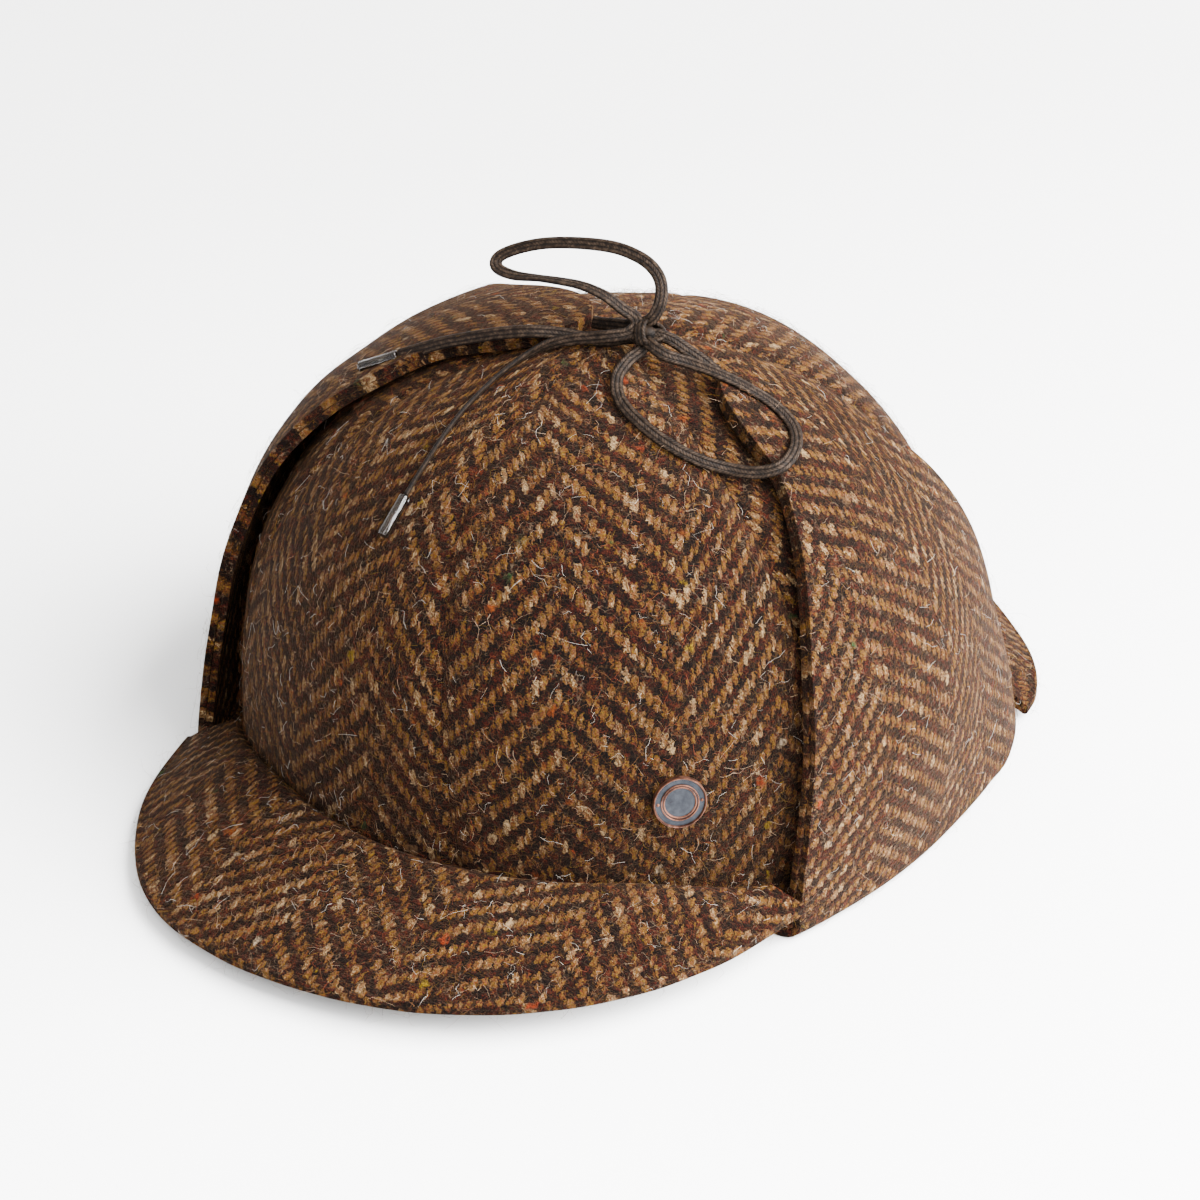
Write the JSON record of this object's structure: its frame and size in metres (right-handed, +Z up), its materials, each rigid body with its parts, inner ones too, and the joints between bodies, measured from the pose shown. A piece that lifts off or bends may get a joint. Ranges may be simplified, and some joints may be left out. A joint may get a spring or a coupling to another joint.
{
  "type": "deerstalker hat",
  "caption": "Herringbone tweed deerstalker hat: panelled crown, front and back peaks, and ear flaps tied up over the top with a flat lace in a bow.",
  "frame": {"origin": "on the surface that the hat rests on, midway between left and right and between the tips of the two peaks", "axes": "-Y is the front, +X is the wearer's left, +Z is up"},
  "size_m": [0.2014, 0.2766, 0.1431],
  "materials": {
    "crown_tweed": "hairy herringbone wool tweed",
    "flap_tweed": "hairy herringbone wool tweed",
    "peak_tweed": "hairy herringbone wool tweed",
    "waxed_lace": "waxed flat braid",
    "clear_plastic": "clear, glossy",
    "copper_badge": "antique copper, satin"
  },
  "bodies": {
    "root": {"aglet_left": "clear_plastic", "aglet_right": "clear_plastic", "back_peak": "peak_tweed", "badge": "copper_badge", "bow_knot": "waxed_lace", "crown_back_left": "crown_tweed", "crown_back_right": "crown_tweed", "crown_front_left": "crown_tweed", "crown_front_right": "crown_tweed", "crown_side_left": "crown_tweed", "crown_side_right": "crown_tweed", "ear_flap_left": "flap_tweed", "ear_flap_right": "flap_tweed", "front_peak": "peak_tweed", "lace_lead_left": "waxed_lace", "lace_lead_right": "waxed_lace", "lace_loop_down": "waxed_lace", "lace_loop_up": "waxed_lace", "lace_tail_left": "waxed_lace", "lace_tail_right": "waxed_lace"}
  },
  "joints": []
}
